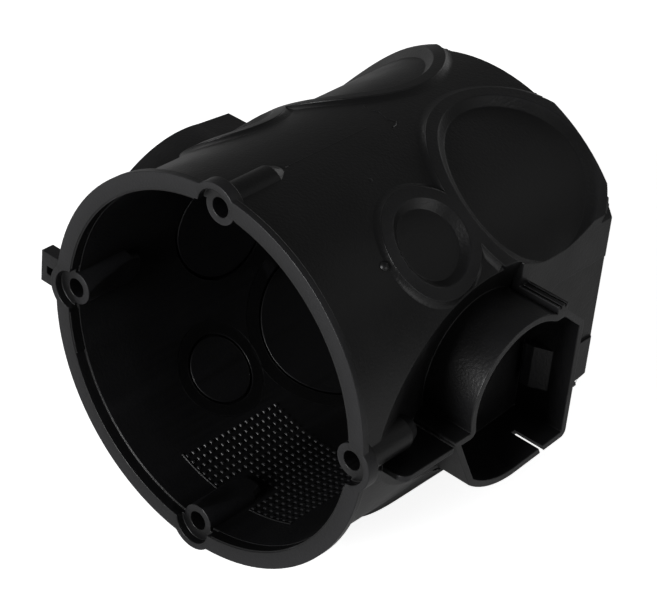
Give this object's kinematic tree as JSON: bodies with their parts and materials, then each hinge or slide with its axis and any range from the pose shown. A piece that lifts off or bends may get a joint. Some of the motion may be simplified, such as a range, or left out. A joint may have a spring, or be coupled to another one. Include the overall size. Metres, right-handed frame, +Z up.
{
  "type": "round wall box",
  "caption": "Deep round plastic wall box, open at the front, with screw bosses round the mouth, round cable knockouts and a coupling on each side.",
  "frame": {"origin": "centre of the mouth, in the plane of the lip", "axes": "+Z up as the box sits in its wall, -Y out of the mouth, +X towards the coupling with the guide shelf"},
  "size_m": [0.0729, 0.066, 0.0692],
  "materials": {
    "plastic": "fine-grained satin black"
  },
  "bodies": {
    "root": {"housing": "plastic"}
  },
  "joints": []
}
